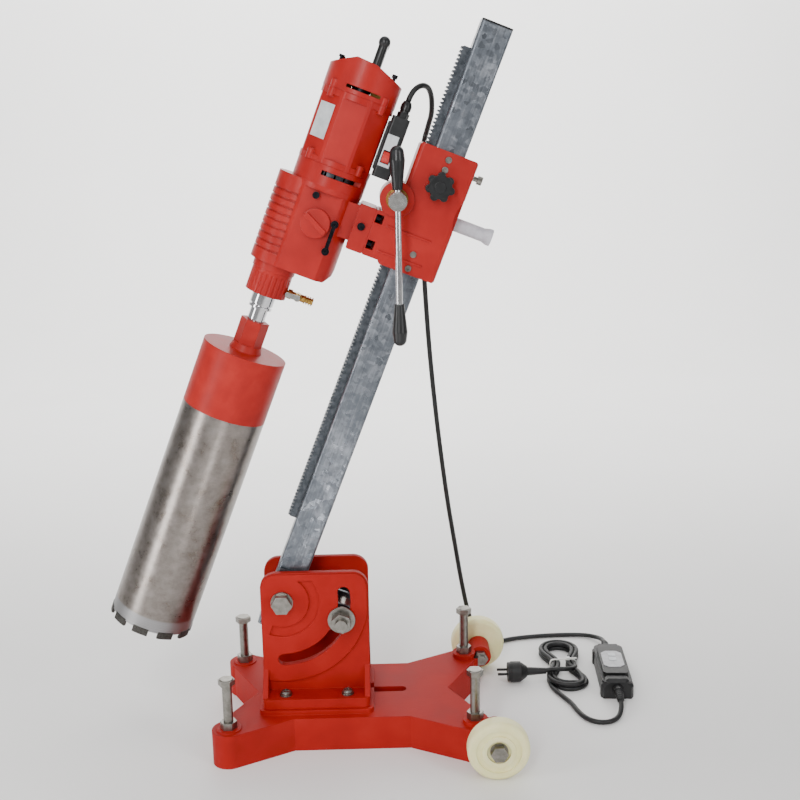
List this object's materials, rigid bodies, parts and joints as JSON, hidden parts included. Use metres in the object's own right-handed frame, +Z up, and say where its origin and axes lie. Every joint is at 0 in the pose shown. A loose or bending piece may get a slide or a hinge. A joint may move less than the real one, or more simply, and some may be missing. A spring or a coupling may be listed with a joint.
{
  "type": "core drill rig",
  "caption": "Wet core drill on a tilting rack-and-pinion mast: wheeled cast base, crank-fed carriage, geared motor, core bit and a lead with safety switch.",
  "frame": {"origin": "on the floor, under the middle of the four levelling screws", "axes": "+X from the drill towards the wheels, +Y away from the crank, +Z up"},
  "size_m": [0.9188, 0.5365, 1.1715],
  "materials": {
    "red_casting": "gloss enamel on sand casting",
    "red_alloy": "satin enamel on die casting",
    "red_steel": "gloss enamel on steel",
    "zinc_steel": "zinc plated",
    "galvanised": "spangled zinc",
    "dark_steel": "oiled mill finish",
    "black_steel": "black oxide",
    "bright_steel": "turned and ground",
    "chrome_rod": "polished plating",
    "brushed_tube": "brushed steel tube",
    "segment": "sintered diamond segment",
    "ivory_nylon": "cast nylon",
    "grey_plastic": "moulded",
    "black_plastic": "moulded",
    "white_plate": "blank plate",
    "red_rocker": "moulded",
    "bronze": "sintered",
    "copper": "varnished windings and laminations",
    "brass": "turned",
    "black_rubber": "satin rubber"
  },
  "bodies": {
    "base": {"base_casting": "red_casting", "tilt_bracket": "red_casting", "bracket_screws": "zinc_steel", "base_nuts": "zinc_steel", "axle_bolts": "zinc_steel", "pivot_bolt": "zinc_steel", "prcd_case": "black_rubber", "lead_lower": "black_rubber", "lead_tail": "black_rubber", "cord_hank": "black_rubber", "plug": "black_rubber"},
    "wheel_front": {"wheel_front": "ivory_nylon"},
    "wheel_rear": {"wheel_rear": "ivory_nylon"},
    "screw_fl": {"level_screw_fl": "zinc_steel"},
    "screw_rl": {"level_screw_rl": "zinc_steel"},
    "screw_fr": {"level_screw_fr": "zinc_steel"},
    "screw_rr": {"level_screw_rr": "zinc_steel"},
    "mast": {"mast_tube": "galvanised", "swing_cheeks": "dark_steel", "clamp_bolt": "zinc_steel", "rack": "dark_steel", "rack_screws": "zinc_steel", "mast_cap": "black_plastic"},
    "carriage": {"carriage_body": "red_alloy", "guide_pads": "ivory_nylon", "guide_screws": "zinc_steel", "pinion_bushes": "bronze", "rear_grip": "grey_plastic", "gearbox": "red_alloy", "motor_housing": "red_alloy", "motor_cap": "red_alloy", "drill_screws": "black_steel", "stator": "copper", "brushes": "bronze", "lift_handle": "black_plastic", "plates": "white_plate", "switch_box": "black_plastic", "cord_gland": "black_plastic", "pin_spanner": "black_steel", "water_collar": "red_alloy", "water_tap": "brass", "bearings": "bright_steel", "lead_upper": "black_rubber"},
    "crank": {"pinion": "bright_steel"},
    "lever": {"lever_rod": "chrome_rod", "lever_grips": "black_plastic"},
    "shoe": {"brake_shoe": "bronze"},
    "knob": {"lock_knob": "black_plastic"},
    "spindle": {"spindle": "chrome_rod", "bit_crown": "red_steel", "bit_tube": "brushed_tube", "bit_segments": "segment"},
    "layshaft": {"mid_gear": "bright_steel"},
    "armature": {"armature": "dark_steel"},
    "selector": {"speed_knob": "red_alloy"},
    "rocker": {"rocker": "red_rocker"},
    "tap_lever": {"tap_lever": "bright_steel"},
    "test_button": {"test_button": "white_plate"},
    "reset_button": {"reset_button": "white_plate"}
  },
  "joints": [
    {"name": "mast_tilt", "type": "hinge", "parent": "base", "child": "mast", "pos_m": [-0.114, 0, 0.244], "axis": [0, 1, 0], "range_deg": [-21.5, 68.5]},
    {"name": "carriage_slide", "type": "slide", "parent": "mast", "child": "carriage", "axis": [0.3665, 0, 0.9304], "range_m": [-0.43, 0.19]},
    {"name": "crank_turn", "type": "hinge", "parent": "carriage", "child": "crank", "pos_m": [0.08977, 0, 0.90426], "axis": [0, 1, 0], "range_deg": [-1800, 800]},
    {"name": "lever_slide", "type": "slide", "parent": "crank", "child": "lever", "axis": [0, 0, 1], "range_m": [0, 0.136]},
    {"name": "shoe_slide", "type": "slide", "parent": "carriage", "child": "shoe", "axis": [0, -1, 0], "range_m": [0, 0.003]},
    {"name": "knob_turn", "type": "hinge", "parent": "shoe", "child": "knob", "pos_m": [0.15541, -0.06, 0.92247], "axis": [0, -1, 0], "range_deg": [0, 720]},
    {"name": "spindle_spin", "type": "hinge", "parent": "carriage", "child": "spindle", "pos_m": [-0.10451, 0, 0.8056], "axis": [0.3665, 0, 0.9304], "continuous": true},
    {"name": "layshaft_spin", "type": "hinge", "parent": "carriage", "child": "layshaft", "pos_m": [-0.07937, 0.026, 0.79569], "axis": [0.3665, 0, 0.9304], "continuous": true},
    {"name": "armature_spin", "type": "hinge", "parent": "carriage", "child": "armature", "pos_m": [-0.00725, 0, 0.9543], "axis": [0.3665, 0, 0.9304], "continuous": true},
    {"name": "selector_turn", "type": "hinge", "parent": "carriage", "child": "selector", "pos_m": [-0.03707, -0.05, 0.87039], "axis": [0, 1, 0], "range_deg": [-60, 60]},
    {"name": "rocker_rock", "type": "hinge", "parent": "carriage", "child": "rocker", "pos_m": [0.07421, -0.027, 0.96735], "axis": [0.9304, 0, -0.3665], "range_deg": [-14, 0]},
    {"name": "tap_turn", "type": "hinge", "parent": "carriage", "child": "tap_lever", "pos_m": [-0.07172, -0.01, 0.74969], "axis": [0, 1, 0], "range_deg": [0, 90]},
    {"name": "wheel_front_spin", "type": "hinge", "parent": "base", "child": "wheel_front", "pos_m": [0.233, -0.195, 0.0515], "axis": [0, 1, 0], "continuous": true},
    {"name": "wheel_rear_spin", "type": "hinge", "parent": "base", "child": "wheel_rear", "pos_m": [0.233, 0.195, 0.0515], "axis": [0, 1, 0], "continuous": true},
    {"name": "level_fl", "type": "slide", "parent": "base", "child": "screw_fl", "axis": [0, 0, 1], "range_m": [-0.02, 0.02]},
    {"name": "level_rl", "type": "slide", "parent": "base", "child": "screw_rl", "axis": [0, 0, 1], "range_m": [-0.02, 0.02]},
    {"name": "level_fr", "type": "slide", "parent": "base", "child": "screw_fr", "axis": [0, 0, 1], "range_m": [-0.02, 0.02]},
    {"name": "level_rr", "type": "slide", "parent": "base", "child": "screw_rr", "axis": [0, 0, 1], "range_m": [-0.02, 0.02]},
    {"name": "test_press", "type": "slide", "parent": "base", "child": "test_button", "axis": [0, 0, -1], "range_m": [0, 0.002], "stiffness_N_per_m": 400, "springref_m": -0.001},
    {"name": "reset_press", "type": "slide", "parent": "base", "child": "reset_button", "axis": [0, 0, -1], "range_m": [0, 0.002], "stiffness_N_per_m": 400, "springref_m": -0.001}
  ],
  "couplings": [
    {"joint": "crank_turn", "follows": "carriage_slide", "rad_per_m": 71.429},
    {"joint": "shoe_slide", "follows": "knob_turn", "m_per_rad": 0.00023873},
    {"joint": "layshaft_spin", "follows": "spindle_spin", "ratio": -2.8462},
    {"joint": "armature_spin", "follows": "spindle_spin", "ratio": 7.5897}
  ]
}
